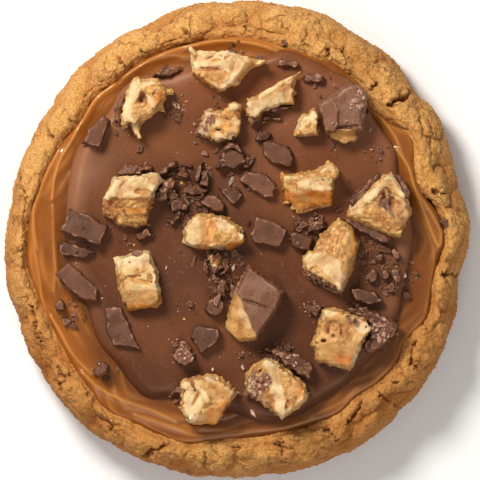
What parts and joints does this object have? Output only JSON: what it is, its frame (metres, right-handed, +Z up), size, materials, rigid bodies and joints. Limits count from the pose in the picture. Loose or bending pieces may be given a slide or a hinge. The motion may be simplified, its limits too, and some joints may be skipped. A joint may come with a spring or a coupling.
{
  "type": "peanut butter caramel cookie",
  "caption": "Large round peanut butter cookie with a raised cracked rim, a caramel pool, a milk chocolate disc, and chopped nougat candy bar and broken chocolate on top.",
  "frame": {"origin": "middle of the flat underside, on the surface that the cookie lies on", "axes": "+Z up out of the topping; +Y towards the far side in the picture, which looks straight down; +X to the right there"},
  "size_m": [0.1107, 0.1134, 0.0304],
  "materials": {
    "cookie": "baked peanut butter dough, matt, sandy and cracked",
    "caramel": "set soft caramel, glossy and slightly see-through",
    "chocolate": "poured milk chocolate, smooth with a soft satin sheen",
    "nougat": "chopped nougat and caramel candy, cream to golden, rough where it broke",
    "broken_chocolate": "broken milk chocolate, matt on its broken faces",
    "peanut": "roasted peanut halves and bits in the candy"
  },
  "bodies": {
    "root": {"cookie_base": "cookie", "caramel_layer": "caramel", "chocolate_layer": "chocolate", "candy_chunk_01": "nougat", "candy_chunk_02": "nougat", "candy_chunk_03": "nougat", "candy_chunk_04": "nougat", "candy_chunk_05": "nougat", "candy_chunk_06": "nougat", "candy_chunk_07": "nougat", "candy_chunk_08": "nougat", "candy_chunk_09": "nougat", "candy_chunk_10": "nougat", "candy_chunk_11": "nougat", "candy_chunk_12": "nougat", "candy_chunk_13": "nougat", "candy_chunk_14": "nougat", "candy_chunk_15": "nougat", "candy_chunk_16": "nougat", "chocolate_piece_01": "broken_chocolate", "chocolate_piece_02": "broken_chocolate", "chocolate_piece_03": "broken_chocolate", "chocolate_piece_04": "broken_chocolate", "chocolate_piece_05": "broken_chocolate", "chocolate_piece_06": "broken_chocolate", "chocolate_piece_07": "broken_chocolate", "chocolate_piece_08": "broken_chocolate", "chocolate_piece_09": "broken_chocolate", "chocolate_piece_10": "broken_chocolate", "chocolate_piece_11": "broken_chocolate", "chocolate_piece_12": "broken_chocolate", "chocolate_piece_13": "broken_chocolate", "chocolate_piece_14": "broken_chocolate", "chocolate_piece_15": "broken_chocolate", "chocolate_piece_16": "broken_chocolate", "chocolate_piece_17": "broken_chocolate", "chocolate_piece_18": "broken_chocolate", "stray_piece_01": "broken_chocolate", "stray_piece_02": "broken_chocolate"}
  },
  "joints": []
}
